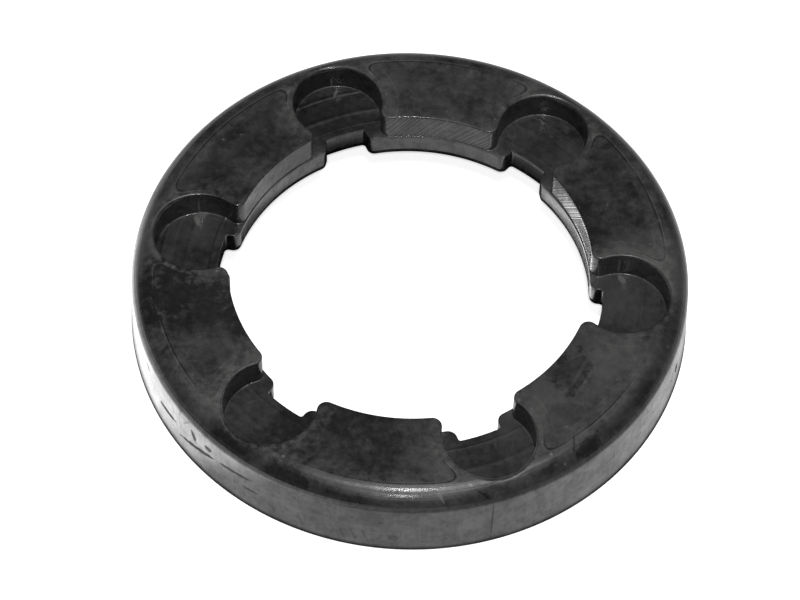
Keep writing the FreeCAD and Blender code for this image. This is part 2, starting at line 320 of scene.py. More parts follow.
def flangeRows(plan, bore):
    # The roof of the seat runs in to the notched bore, then down to the lip, up over its sloping
    # face and the tab's to the flange's top: depths into the rubber and heights
    edge, into = bore["edge"], bore["into"]
    start = polar(ring["skirt"] - ring["seatSlope"], plan["bearing"])
    soft, lip, top = ring["tabSoft"], ring["lip"], ring["flange"]
    depth, bevel, bend = ring["tabBevelDepth"], ring["tabBevel"], ring["tabBevelSoft"]
    stop = edge + into * (depth + soft + ring["lipRun"])
    rows = [lift(start + (stop - start) * t, ring["seat"]) for t in np.linspace(0, 1, grid["roof"] + 1)[1:]]
    face = [(depth + soft + 3 * soft, lip), (depth + soft, lip), (depth + soft * 0.3, lip + soft * 0.3),
            (depth, lip + soft), (depth * 0.1, bevel - bend), (depth * 0.03, bevel - bend * 0.3),
            (0, bevel + bend * 0.3), (0, bevel + bend * 1.5), (0, bevel + bend * 6), (0, top - soft * 12),
            (0, top - soft), (soft * 0.3, top - soft * 0.3), (soft, top)]
    return rows + [lift(edge + into * d, z) for d, z in face]


def floorRows(plan, bore):
    # The floor between the notched edge and the pocket's arc at ring["floorStart"], beside it
    # the strip between the pad's foot and the tab
    end = plan["floorEnd"]
    foot = plan["foot"]
    stop = bore["edge"] + bore["into"] * ring["tabSoft"]
    wide = np.arctan2(foot[end, 1], foot[end, 0])
    bearing = np.arctan2(stop[:end + 1, 1], stop[:end + 1, 0])
    share = 0.5 * bearing / bearing[-1] + 0.5 * np.linspace(0, 1, end + 1)
    start = foot.copy()
    start[:end + 1] = polar(ring["floorStart"], wide * share)
    start[end] = foot[end]
    steps = np.linspace(0, 1, grid["floor"] + 1)
    rows = [lift(stop + (start - stop) * t, ring["flange"]) for t in steps]
    return rows, share


def wrap(rows):
    # a half sector's rows, mirrored in the pad's middle and turned round the axis
    half = np.stack(rows)
    turn = 2 * pi / ring["sectors"]
    flip = np.array([[cos(turn), sin(turn), 0], [sin(turn), -cos(turn), 0], [0, 0, 1]])
    sector = np.concatenate([half, half[:, -2:0:-1] @ flip.T], 1)
    return np.concatenate([turned(sector, turn * k) for k in range(ring["sectors"])], 1)


def quads(rows, columns, closed, first):
    # the faces of a grid of points, row by row
    i = np.arange(rows - 1)[:, None]
    j = np.arange(columns if closed else columns - 1)[None, :]
    k = (j + 1) % columns
    low, high = i * columns, (i + 1) * columns
    return np.stack([low + j, low + k, high + k, high + j], -1).reshape(-1, 4) + first


def pocketRises(plan):
    # how much the turning marks raise the foot of the wall in each pocket, column by column
    radius = np.hypot(*plan["foot"].T)
    radius[plan["pocketEnd"] + 1:] = 0
    return [markRise(radius, marks) for marks in ring["marks"]]


def raiseMarks(skin, rises):
    # the marks lift the foot of the wall and fade out up the wall
    weight = np.zeros(len(skin))
    wall = grid["foot"] + 1
    weight[:wall] = 1
    weight[wall:wall + grid["wall"]] = np.linspace(1, 0, grid["wall"] + 1)[1:]
    around = []
    for k, rise in enumerate(rises):
        following = rises[(k + 1) % len(rises)]
        around.append(np.concatenate([rise, following[-2:0:-1]]))
    skin[:, :, 2] += weight[:, None] * np.concatenate(around)[None, :]


def pocketFloors(plan, share, rises):
    # The floor of each pocket: arcs about the axis between two points of the wall's foot, from
    # the outer end inwards, raised where a turning mark runs
    foot = plan["foot"][:plan["floorEnd"] + 1]
    radius, wide = np.hypot(*foot.T), np.arctan2(foot[:, 1], foot[:, 0])
    across = np.concatenate([-share[:0:-1], share])
    turn = wide[:, None] * across[None, :]
    plane = polar(radius[:, None], turn)
    patches = []
    for k, rise in enumerate(rises):
        high = np.empty(plane.shape[:2] + (1,))
        high[:] = (ring["flange"] + rise[:len(radius)])[:, None, None]
        patches.append(turned(np.concatenate([plane, high], 2), 2 * pi / ring["sectors"] * k))
    return patches


def storeAttribute(mesh, name, values):
    # one number for each vertex, for the material to read
    layer = mesh.attributes.new(name, "FLOAT", "POINT")
    layer.data.foreach_set("value", np.ascontiguousarray(values, np.float32))


def storeDistances(mesh):
    # In millimetres, in plan: the distance from the axis, to the nearest pocket's rim, and
    # inwards from the outline on each pad, which keeps padLineGap from the pockets' rims, runs
    # along padLineRadius and turns between them on a rounded corner. And how far up a point faces
    points = np.empty(len(mesh.vertices) * 3, np.float32)
    mesh.vertices.foreach_get("co", points)
    points = points.reshape(-1, 3) / mm
    normals = np.empty(len(mesh.vertices) * 3, np.float32)
    mesh.vertex_normals.foreach_get("vector", normals)
    radius, bearing = np.hypot(points[:, 0], points[:, 1]), np.arctan2(points[:, 1], points[:, 0])
    turn = 2 * pi / ring["sectors"]
    local = bearing - np.round(bearing / turn) * turn
    reach = np.hypot(radius * np.cos(local) - ring["pocketCentre"], radius * np.sin(local))
    reach -= ring["pocket"]
    bend = ring["padLineCorner"]
    gap, inward = reach - ring["padLineGap"], ring["padLineRadius"] - radius
    corner = bend - np.hypot(bend - gap, bend - inward)
    line = np.where((gap < bend) & (inward < bend), corner, np.minimum(gap, inward))
    storeAttribute(mesh, "pocketReach", reach)
    storeAttribute(mesh, "padLine", line)
    storeAttribute(mesh, "fromAxis", radius)
    storeAttribute(mesh, "upward", normals.reshape(-1, 3)[:, 2])


def makeRing():
    # one skin from the foot of the pads' walls over the outside to the bore and back, and the
    # pockets' floors, merged into a closed surface
    plan = padPlan()
    bore = borePlan(plan)
    up, edgeEnd = wallRows(plan)
    floor, share = floorRows(plan, bore)
    rises = pocketRises(plan)
    outside = sheetRows(plan, edgeEnd) + sectionRows(plan)
    skin = wrap(up + outside + flangeRows(plan, bore) + floor[1:])
    raiseMarks(skin, rises)
    points = [skin.reshape(-1, 3)]
    faces = [quads(len(skin), skin.shape[1], True, 0)]
    count = len(points[0])
    for patch in pocketFloors(plan, share, rises):
        points.append(patch.reshape(-1, 3))
        faces.append(quads(*patch.shape[:2], False, count))
        count += len(points[-1])
    points, faces = np.concatenate(points) * mm, np.concatenate(faces)
    mesh = bpy.data.meshes.new("insulatorRing")
    mesh.from_pydata(points, [], faces.tolist())
    work = bmesh.new()
    work.from_mesh(mesh)
    bmesh.ops.remove_doubles(work, verts=work.verts, dist=grid["merge"])
    bmesh.ops.dissolve_degenerate(work, edges=work.edges, dist=grid["merge"] / 20)
    bmesh.ops.recalc_face_normals(work, faces=work.faces)
    loose = [edge for edge in work.edges if not edge.is_manifold]
    work.to_mesh(mesh)
    work.free()
    mesh.shade_smooth()
    storeDistances(mesh)
    piece = bpy.data.objects.new("insulatorRing", mesh)
    bpy.context.scene.collection.objects.link(piece)
    triangles = len(mesh.loops) - 2 * len(mesh.polygons)
    print("ring:", *skin.shape[:2], "rows and columns,", triangles, "triangles,", len(loose), "open edges")
    return piece


ringPiece = makeRing()


def fromHex(code):
    # an sRGB hex colour as linear light
    parts = [int(code[k:k + 2], 16) / 255 for k in (1, 3, 5)]
    return (*[p / 12.92 if p <= 0.04045 else ((p + 0.055) / 1.055) ** 2.4 for p in parts], 1.0)


def add(tree, kind, inputs=(), output=0, **settings):
    # A shader node with its settings and what feeds it, in the order of its inputs or by their
    # names: a socket is linked and anything else is set. It gives back the output asked for
    node = tree.nodes.new("ShaderNode" + kind)
    for name, value in settings.items():
        setattr(node, name, value)
    pairs = inputs.items() if isinstance(inputs, dict) else enumerate(inputs)
    for name, value in pairs:
        if isinstance(value, bpy.types.NodeSocket):
            tree.links.new(value, node.inputs[name])
        else:
            node.inputs[name].default_value = value
    return node.outputs[output]


rubber = {
    "black": "#101011",
    # the pale colour of dust; it also paints sheen and glints, and less of it paints shade
    "paleDustAndSheen": "#565655",
    "ior": 1.45,
    # cloudy patterns: size across in mm, detail, roughness and distortion
    "patterns": {
        "smudge": (13.0, 7.0, 0.58, 0.7),
        "patch": (30.0, 4.0, 0.55, 0.0),
        "fine": (2.2, 4.0, 0.7, 0.0),
        "speck": (1.1, 1.0, 0.5, 0.0),
        "worn": (12.0, 4.0, 0.5, 0.0),
        "hair": (17.0, 2.0, 0.5, 1.2),
        "dull": (7.0, 5.0, 0.65, 0.0),
        "grain": (0.4, 2.0, 0.5, 0.0),
    },
    "streakSize": (0.9, 0.9, 11.0),    # mm: the streaks are drawn up the walls
    # the grain and the turned lines are coarser than real ones, so that they show
    "turnedSize": 0.28,      # spacing of the fine turned lines round the axis
    "coarseSize": 0.625,     # of the coarser ones on the shoulder
    "sawnSize": 0.45,        # and of the slanted streaks on the pads' faces
    "sawnSlant": 0.8,        # how far those lean over for their height
    # Each range of four: between the first two values of what is read, the finish goes from the
    # third value to the fourth
    "facesUp": (0.45, 0.95, 0.0, 1.0),      # from wall to top, by the height of the normal
    # the dust that the patterns give
    "smudgeDust": (0.42, 0.68, 0.0, 0.33),
    "patchDust": (0.38, 0.64, -0.16, 0.2),
    "fineDust": (0.45, 0.75, 0.0, 0.16),
    # the pockets' floors get less of the pale colour than the pads, so they are darker
    "pocketFloorFade": (-0.6, 0.0, 0.45, 1.0),    # the pockets' floors are cleaner than the pads
    "wallDust": (0.0, 1.0, 0.6, 1.0),       # and so are the walls
    # the outline on the pads: where each of its lines runs, half its width in mm, and its dust; the
    # groove's darkening is painted shade
    "lip": (-0.3, 0.35, 0.26),
    # painted shade: the groove takes the pale colour away
    "groove": (0.12, 0.32, -0.42),
    "innerLip": (2.6, 0.3, 0.17),
    "outlineOut": (59.0, 66.0, 0.1, 1.0),   # it is fainter towards the axis
    "outlineWorn": (0.36, 0.54, 0.1, 1.0),
    "innerLipWorn": (0.48, 0.6, 0.0, 1.0),
    # a paler band along the outside of the pads, partly dust and partly a painted sheen of the light
    # overhead
    "bandOut": (-4.6, -0.6, 0.0, 1.0),
    "bandIn": (-0.2, 5.0, 1.0, 0.0),
    "bandDustAndSheen": (0.35, 0.65, 0.06, 0.26),
    # the rounded outer ends of the pockets' rims are paler: partly scuffs, partly a painted sheen on the
    # rounding
    "scuffSheenIn": (0.1, 0.7, 0.0, 1.0),
    "scuffSheenOut": (1.6, 2.4, 1.0, 0.0),
    "scuffSheenEnds": (58.0, 66.0, 0.0, 1.0),
    "scuffSheenTone": (0.4, 0.65, 0.03, 0.22),
    # pale specks, more of them near the pockets, none on their rims and floors
    "speckStart": (0.2, 2.6, 0.66, 0.76),
    "speckDust": (0.0, 0.05, 0.0, 0.5),
    "speckClear": (0.7, 1.1, 0.0, 1.0),
    # wavy hair lines: the middle value of their pattern, half their width, dust and roughness
    "hairLine": (0.5, 0.006),
    "hairWhere": (0.5, 0.56, 0.0, 1.0),
    "hairDust": 0.12,
    "hairRough": 0.2,
    # roughness, from smooth places to dull ones, and the weight of the skin's own shine
    "topRough": (0.8, 1.2, 0.26, 0.54),
    "wallRough": 0.24,
    "streakRough": (0.3, 0.7, -0.03, 0.06),
    "fineRough": (0.35, 0.7, -0.03, 0.12),
    "padFaceRough": 0.2,
    "padFaceEdge": (50.0, 50.4, 1.0, 0.0),  # the pads' faces are what stands nearer the axis
    "padFaceFoot": 0.2,      # and this far above the flange, mm
    "topCoat": 0.3,
    "wallCoat": (1.05, 1.45, 0.0, 0.62),
    "wallStreaks": 0.5,
    "sawnCoat": (0.7, 0.95, 0.0, 1.0),
    "sawnPatches": 0.4,
    "coatRoughness": 0.1,
    "coatWorn": 2.5,         # how much of the shine a mark's roughness takes away
    # relief: the height of it all in mm, and the share of each part
    "relief": 0.02,
    "reliefStrength": 0.5,
    "turnedRelief": 0.35,
    "grainRelief": 0.5,
    "coarseRelief": (67.4, 69.0, 0.0, 5.0),
    "grooveRelief": -2.5,
    "lipRelief": 1.2,
    # the edges of the marks below: how ragged they are, and how softly they end
    "wearRagged": (0.3, 0.7, -0.35, 0.35),
    "wearEdge": (0.7, 1.1, 1.0, 0.0),
}

# Scuffs, scratches, specks and smudges where the photograph shows them: the place in mm, the
# turn in the wall and the bearing in degrees, the half sizes in mm, how much dust the mark
# adds or takes away, and how much rougher it is
# Some of them are painted glints and painted reflections, on the far walls of three pockets and on the
# floors below them.
wear = [
    ((50.1, -47.8, 21.3), (0, -82), (2.3, 0.35, 2.5), -0.6, -0.1),
    ((53.8, -47.0, 20.3), (0, 66), (4.1, 3, 2.5), -0.22, -0.06),
    ((25.9, -64.5, 21.2), (0, -26), (2.5, 0.3, 2.5), -0.5, -0.1),
    ((29.9, -65.9, 19.6), (0, -12), (2.1, 0.3, 2.5), -0.5, -0.1),
    ((18.5, -68.4, 20.5), (0, -41), (2.6, 0.4, 2.5), 1, 0.1),
    ((52.5, -30.0, 21.7), (0, 60), (21, 12, 3), 0.13, 0.02),
    ((46.9, -26.8, 21.7), (0, 73), (7.8, 4.6, 2.5), -0.24, -0.06),
    ((42.3, -26.4, 21.7), (0, 78), (5.5, 2.2, 2.5), -0.2, -0.05),
    ((48.8, -26.1, 21.7), (0, 71), (5.8, 0.6, 2.5), 0.16, 0.06),
    ((50.5, -29.1, 21.7), (0, 68), (3.6, 0.4, 2.5), 0.14, 0.06),
    ((2.0, 63.0, 21.7), (0, 0), (22, 6, 3), 0.06, 0.02),
    ((2.0, 54.0, 21.7), (0, 0), (16, 5, 3), -0.1, -0.02),
    ((-55.4, 32.0, 21.7), (0, 60), (20, 5, 3), 0.16, 0.02),
    ((-52.0, -30.0, 21.7), (0, -60), (22, 13, 3), -0.13, -0.03),
    ((-63.0, -19.0, 21.3), (0, -72), (10, 8, 3), -0.12, -0.02),
    ((50.0, 29.0, 21.7), (0, -60), (20, 11, 3), 0.06, 0.01),
    ((-16.3, -70.3, 20.0), (0, -22), (2, 1, 2.5), -0.4, -0.1),
    ((62.0, -41.2, 20.0), (0, -34), (0.35, 0.35, 2.5), 1, 0),
    ((60.3, -41.2, 20.6), (0, -36), (0.3, 0.3, 2.5), 0.9, 0),
    ((44.8, -52.1, 21.6), (0, 0), (0.4, 0.4, 2.5), 1, 0),
    ((48.7, -53.4, 19.9), (0, 0), (0.3, 0.3, 2.5), 0.8, 0),
    ((-22.1, -64.6, 21.7), (0, 0), (0.45, 0.45, 2.5), 1, 0),
    ((32.3, -66.8, 9.4), (-92, -64), (2.5, 8.9, 0.22), -0.3, 0.25),
    ((37.2, -63.9, 15.9), (-5, -60), (2.5, 4.5, 0.25), 0.5, 0.1),
    ((-45.7, -58.4, 8.8), (17, -128), (2.5, 7.5, 0.75), -0.5, 0.45),
    ((-34.8, -65.4, 11.7), (7, -118), (2.5, 5.8, 0.6), -0.5, 0.4),
    ((-47.1, -57.4, 12.6), (-63, -129), (2.5, 2.3, 0.8), -0.5, 0.4),
    ((-42.5, -60.9, 13.0), (11, -125), (2.5, 1.3, 0.9), -0.5, 0.35),
    ((-23.7, -70.8, 5.3), (-71, -108), (2.5, 1.4, 0.3), -0.2, 0.12),
    ((-16.4, -72.8, 5.6), (-62, -103), (2.5, 2.4, 0.3), -0.2, 0.1),
    ((-5.3, -74.5, 5.1), (-69, -94), (2.5, 2.6, 0.3), -0.2, 0.1),
    ((-2.3, -74.7, 5.3), (-72, -92), (2.5, 2.7, 0.3), -0.2, 0.1),
    ((0.8, -74.7, 5.5), (-71, -89), (2.5, 2.5, 0.3), -0.2, 0.1),
    ((4.6, -74.2, 12.1), (0, -86), (2.5, 0.6, 0.6), -0.3, 0.15),
    ((8.0, -74.2, 5.6), (0, -84), (2.5, 1.5, 1.5), -0.3, 0.1),
    ((73.4, -12.7, 9.4), (-83, -10), (2.5, 1.8, 1.2), -0.5, 0.35),
    ((-55.8, -49.2, 9.4), (5, -139), (2.5, 4.2, 0.8), -0.5, 0.45),
    ((-30.0, -68.1, 8.0), (0, -114), (2.5, 3.4, 0.4), -0.4, 0.3),
    ((-63.0, -39.2, 13.9), (-23, -148), (2.5, 1.7, 0.5), -0.5, 0.4),
    ((-56.0, -49.7, 1.5), (-14, -138), (2.5, 1.1, 0.7), -0.5, 0.4),
    # painted glints on the far walls of three pockets, then their painted reflections on the floors below
    ((-59.8, 11.9, 16.2), (-90, 104), (1, 3, 0.35), 1, 0.05),
    ((-32.3, 60.9, 15.1), (-90, 108), (1, 1.6, 0.35), 1, 0.05),
    ((54.5, 12.0, 17.1), (-90, 101), (1, 3.1, 0.35), 1, 0.05),
    ((-59.8, 9.3, 13.5), (0, -67), (2, 0.9, 0.5), 0.8, 0.1),
    ((-30.7, 58.5, 13.5), (0, -99), (1.3, 0.5, 0.5), 0.8, 0.1),
    ((55.7, 10.1, 13.5), (0, -58), (1.6, 0.8, 0.5), 0.7, 0.1),
    ((27.0, 62.1, 13.5), (0, -73), (1.2, 1.2, 0.5), 0.5, 0.1),
    ((49.8, 10.9, 13.5), (0, 0), (0.4, 0.4, 0.5), 0.8, 0.1),
    ((64.6, 11.5, 13.5), (0, 0), (0.35, 0.35, 0.5), 0.8, 0.1),
    ((-59.1, 11.5, 13.5), (0, -87), (2.7, 1.6, 0.5), 0.35, 0.1),
]


def readSurface(tree):
    # What the finish reads at each point: the place in metres, the numbers that the mesh holds,
    # how far the surface faces up, and the cloudy patterns
    place = add(tree, "TexCoord", output="Object")
    here = {"place": place}
    for name in ("upward", "fromAxis", "pocketReach", "padLine"):
        here[name] = add(tree, "Attribute", output="Fac", attribute_name=name)
    here["facesUp"] = add(tree, "MapRange", [here["upward"], *rubber["facesUp"]])
    for name, (size, detail, roughness, distortion) in rubber["patterns"].items():
        inputs = {"Vector": place, "Scale": 1 / (size * mm), "Detail": detail,
                  "Roughness": roughness, "Distortion": distortion}
        here[name] = add(tree, "TexNoise", inputs)
    stretch = [1 / v for v in rubber["streakSize"]]
    stretched = add(tree, "Mapping", {"Vector": place, "Scale": stretch})
    here["streak"] = add(tree, "TexNoise", {"Vector": stretched, "Scale": 1 / mm, "Detail": 3.0})
    return here


def lineAt(tree, distance, place, half):
    # 1 where the distance is at the place and 0 from half a width away
    off = add(tree, "Math", [distance, place], operation="SUBTRACT")
    off = add(tree, "Math", [off], operation="ABSOLUTE")
    return add(tree, "MapRange", [off, 0.0, half, 1.0, 0.0], interpolation_type="SMOOTHSTEP")


def overlap(tree, here, ranges, kind="LINEAR"):
    # the product of several ranges of what is read at a point
    share = 1.0
    for source, name in ranges:
        part = add(tree, "MapRange", [here[source], *rubber[name]], interpolation_type=kind)
        share = add(tree, "Math", [share, part], operation="MULTIPLY")
    return share


def wearMasks(tree, here):
    # The marks of the list above as ellipsoids with ragged edges: the dust, with the painted glints among
    # it, and the roughness that they add up to
    ragged = add(tree, "MapRange", [here["fine"], *rubber["wearRagged"]])
    dustAndPaintedLight, rough = 0.0, 0.0
    for at, (roll, bearing), half, tone, rougher in wear:
        inputs = {"Vector": here["place"], "Location": [v * mm for v in at],
                  "Rotation": (radians(roll), 0, radians(bearing)), "Scale": [v * mm for v in half]}
        local = add(tree, "Mapping", inputs, vector_type="TEXTURE")
        away = add(tree, "VectorMath", [local], output="Value", operation="LENGTH")
        edge = add(tree, "Math", [away, ragged], operation="ADD")
        mask = add(tree, "MapRange", [edge, *rubber["wearEdge"]], interpolation_type="SMOOTHSTEP")
        dustAndPaintedLight = add(tree, "Math", [mask, tone, dustAndPaintedLight], operation="MULTIPLY_ADD")
        rough = add(tree, "Math", [mask, rougher, rough], operation="MULTIPLY_ADD")
    return dustAndPaintedLight, rough


def padOutline(tree, here):
    # the rounded outline on the pads: a groove with a lip outside it, and a fainter lip further
    # in, worn away in places
    out = add(tree, "MapRange", [here["fromAxis"], *rubber["outlineOut"]], interpolation_type="SMOOTHSTEP")
    worn = add(tree, "MapRange", [here["worn"], *rubber["outlineWorn"]])
    worn = add(tree, "Math", [out, worn], operation="MULTIPLY")
    innerWorn = add(tree, "MapRange", [here["patch"], *rubber["innerLipWorn"]])
    outline = {}
    for name, fade in (("lip", worn), ("groove", worn), ("innerLip", innerWorn)):
        line = lineAt(tree, here["padLine"], *rubber[name][:2])
        outline[name] = add(tree, "Math", [line, fade], operation="MULTIPLY")
    return outline


def dustAndPaintedLightOf(tree, here, outline, hairLine, wearDustAndGlints):
    # Clouds of dust, with darker and lighter patches and fine wipes, less of the pale colour in the
    # pockets; the outline's pale lips and its dark groove, which is painted shade; the two pale bands,
    # partly dust and scuffs, partly painted sheen; specks, hair lines and marks, some of them painted
    # glints and their painted reflections
    dustAndPaintedLight = 0.0
    for name in ("smudge", "patch", "fine"):
        part = add(tree, "MapRange", [here[name], *rubber[name + "Dust"]])
        dustAndPaintedLight = add(tree, "Math", [dustAndPaintedLight, part], operation="ADD")
    pocketFade = add(tree, "MapRange", [here["pocketReach"], *rubber["pocketFloorFade"]])
    dustAndPaintedLight = add(tree, "Math", [dustAndPaintedLight, pocketFade], operation="MULTIPLY")
    for name, line in outline.items():
        dustAndPaintedLight = add(tree, "Math", [line, rubber[name][2], dustAndPaintedLight], operation="MULTIPLY_ADD")

    # the two pale bands, partly dust and scuffs, partly painted sheen
    band = overlap(tree, here, (("padLine", "bandOut"), ("padLine", "bandIn")), "SMOOTHSTEP")
    bandDustAndSheen = add(tree, "MapRange", [here["fine"], *rubber["bandDustAndSheen"]])
    dustAndPaintedLight = add(tree, "Math", [band, bandDustAndSheen, dustAndPaintedLight], operation="MULTIPLY_ADD")
    # scuffs and a painted sheen on the rounded outer ends of the pockets' rims
    scuffAndSheen = overlap(tree, here, (("pocketReach", "scuffSheenIn"), ("pocketReach", "scuffSheenOut"),
                                 ("fromAxis", "scuffSheenEnds"), ("fine", "scuffSheenTone")))
    dustAndPaintedLight = add(tree, "Math", [dustAndPaintedLight, scuffAndSheen], operation="ADD")

    # specks are the peaks of a fine pattern
    start = add(tree, "MapRange", [here["pocketReach"], *rubber["speckStart"]])
    over = add(tree, "Math", [here["speck"], start], operation="SUBTRACT")
    specks = add(tree, "MapRange", [over, *rubber["speckDust"]])
    clear = add(tree, "MapRange", [here["pocketReach"], *rubber["speckClear"]])
    dustAndPaintedLight = add(tree, "Math", [specks, clear, dustAndPaintedLight], operation="MULTIPLY_ADD")

    # less of it all on the walls, then the marks and the hair lines
    level = add(tree, "MapRange", [here["facesUp"], *rubber["wallDust"]])
    dustAndPaintedLight = add(tree, "Math", [dustAndPaintedLight, level, wearDustAndGlints], operation="MULTIPLY_ADD")
    return add(tree, "Math", [hairLine, rubber["hairDust"], dustAndPaintedLight], operation="MULTIPLY_ADD", use_clamp=True)


def shineOf(tree, here, hairLine, wearRough):
    # The roughness and the weight of the coat: smoother on the walls than on the pads, streaked
    # where the mould dragged and patchy; the pads' faces are duller, with slanted streaks
    axes = add(tree, "SeparateXYZ", [here["place"]]).node.outputs
    foot = ring["flange"]
    padFace = add(tree, "MapRange", [axes["Z"], foot * mm, (foot + rubber["padFaceFoot"]) * mm])
    inside = add(tree, "MapRange", [here["fromAxis"], *rubber["padFaceEdge"]])
    padFace = add(tree, "Math", [padFace, inside], operation="MULTIPLY")

    # roughness of the walls and of the top
    wallRough = rubber["wallRough"]
    for name in ("streak", "fine"):
        part = add(tree, "MapRange", [here[name], *rubber[name + "Rough"]])
        wallRough = add(tree, "Math", [wallRough, part], operation="ADD")
    wallRough = add(tree, "Math", [padFace, rubber["padFaceRough"], wallRough], operation="MULTIPLY_ADD")
    patches = add(tree, "Math", [here["patch"], here["fine"]], operation="ADD")
    topRough = add(tree, "MapRange", [patches, *rubber["topRough"]])
    rough = add(tree, "Mix", {"Factor": here["facesUp"], "A": wallRough, "B": topRough}, "Result")
    rough = add(tree, "Math", [hairLine, rubber["hairRough"], rough], operation="MULTIPLY_ADD")
    rough = add(tree, "Math", [rough, wearRough], operation="ADD", use_clamp=True)

    # the coat, patchy on the walls, with slanted streaks on the pads' faces
    parts = [here["streak"], rubber["wallStreaks"], here["dull"]]
    dull = add(tree, "Math", parts, operation="MULTIPLY_ADD")
    patches = add(tree, "Math", [dull, here["fine"]], operation="ADD")
    wallCoat = add(tree, "MapRange", [patches, *rubber["wallCoat"]])
    around = add(tree, "Math", [axes["Y"], axes["X"]], operation="ARCTAN2")
    around = add(tree, "Math", [around, ring["padFace"] * mm], operation="MULTIPLY")
    slant = add(tree, "Math", [axes["Z"], rubber["sawnSlant"], around], operation="MULTIPLY_ADD")
    inputs = {"W": slant, "Scale": 1 / (rubber["sawnSize"] * mm), "Detail": 2.0}
    sawn = add(tree, "TexNoise", inputs, noise_dimensions="1D")
    sawn = add(tree, "Math", [dull, rubber["sawnPatches"], sawn], operation="MULTIPLY_ADD")
    sawnCoat = add(tree, "MapRange", [sawn, *rubber["sawnCoat"]])
    wallCoat = add(tree, "Mix", {"Factor": padFace, "A": wallCoat, "B": sawnCoat}, "Result")
    coat = add(tree, "Mix", {"Factor": here["facesUp"], "A": wallCoat, "B": rubber["topCoat"]}, "Result")
    parts = [wearRough, -rubber["coatWorn"], coat]
    coat = add(tree, "Math", parts, operation="MULTIPLY_ADD", use_clamp=True)
    return rough, coat


def reliefOf(tree, here, outline):
    # the mould's turned lines, coarser on the shoulder, a fine grain and the pads' outline
    lines = {}
    for name, detail in (("turned", 2.0), ("coarse", 3.0)):
        inputs = {"W": here["fromAxis"], "Scale": 1 / rubber[name + "Size"], "Detail": detail}
        lines[name] = add(tree, "TexNoise", inputs, noise_dimensions="1D")
    onShoulder = add(tree, "MapRange", [here["fromAxis"], *rubber["coarseRelief"]])
    parts = ((lines["turned"], rubber["turnedRelief"]), (here["grain"], rubber["grainRelief"]),
             (lines["coarse"], onShoulder), (outline["groove"], rubber["grooveRelief"]),
             (outline["lip"], rubber["lipRelief"]))
    relief = 0.0
    for part, share in parts:
        relief = add(tree, "Math", [part, share, relief], operation="MULTIPLY_ADD")
    inputs = {"Height": relief, "Strength": rubber["reliefStrength"], "Distance": rubber["relief"] * mm}
    return add(tree, "Bump", inputs)


def mouldedRubber():
    # Black rubber, compression moulded in a turned steel mould: a semi-gloss skin that mirrors
    # bright paper at a shallow angle, dulled on the pads by talc, dust and handling
    material = bpy.data.materials.new("mouldedBlackRubber")
    material.use_nodes = True
    tree = material.node_tree
    here = readSurface(tree)
    outline = padOutline(tree, here)
    # a hair line is where a broad pattern passes through its middle value
    hairLine = lineAt(tree, here["hair"], *rubber["hairLine"])
    hairWhere = add(tree, "MapRange", [here["patch"], *rubber["hairWhere"]])
    hairLine = add(tree, "Math", [hairLine, hairWhere], operation="MULTIPLY")
    wearDustAndGlints, wearRough = wearMasks(tree, here)
    dustAndPaintedLight = dustAndPaintedLightOf(tree, here, outline, hairLine, wearDustAndGlints)
    # dust and painted light together set how far the black goes towards the pale colour
    colours = {"Factor": dustAndPaintedLight, "A": fromHex(rubber["black"]), "B": fromHex(rubber["paleDustAndSheen"])}
    rough, coat = shineOf(tree, here, hairLine, wearRough)
    relief = reliefOf(tree, here, outline)
    shader = tree.nodes["Principled BSDF"]
    shader.inputs["IOR"].default_value = rubber["ior"]
    shader.inputs["Coat Roughness"].default_value = rubber["coatRoughness"]
    feeds = {"Base Color": add(tree, "Mix", colours, "Result", data_type="RGBA"), "Roughness": rough,
             "Coat Weight": coat, "Normal": relief, "Coat Normal": relief}
    for name, source in feeds.items():
        tree.links.new(source, shader.inputs[name])
    return material


ringPiece.data.materials.append(mouldedRubber())
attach(ringPiece, "root")
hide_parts("insulator_ring")
print("rubber done")


studio = {
    "floor": "#f4f4f4",
    "floorHalf": 3.0,        # m
    "floorLift": 0.7,        # what the paper adds where the camera sees it
    # the overexposed paper as the rubber mirrors it, a painted glow: its brightness, and the higher one of
    # a painted pool of light that it reaches towards a bearing, between two distances in mm
    "floorMirrored": (1.15, 3.2),
    "paintedLightSide": (210, 69, 78),
    "paintedLightInside": (35.5, 41, 3.4),    # the same inside the bore, on the far side, and the gain
    "boreSide": (44, 46),
    # painted shade: the paper's glow is dimmed under the ring
    "paintedShadeUnderRing": (43.1, 44.6, 75.1, 76.5),    # where the ring's own shade starts and ends
    # painted: the glow also fades away from the ring
    "farPaper": (92, 130, 0.5),    # the paper darkens away from the ring
    "room": 0.14,            # the room round it is dim
}

# A soft light overhead, and two small lamps that glint on the front of the shoulder: metres
# and watts
lamps = {
    "softOverhead": {"place": (0.16, -0.05, 1.5), "size": (0.6, 0.6), "power": 6.2},
    "lampHigh": {"place": (0.035, -0.13, 1.4), "size": (0.13, 0.05), "power": 5.0},
    "lampLow": {"place": (0.095, -0.72, 1.18), "size": (0.14, 0.045), "power": 5.0},
}


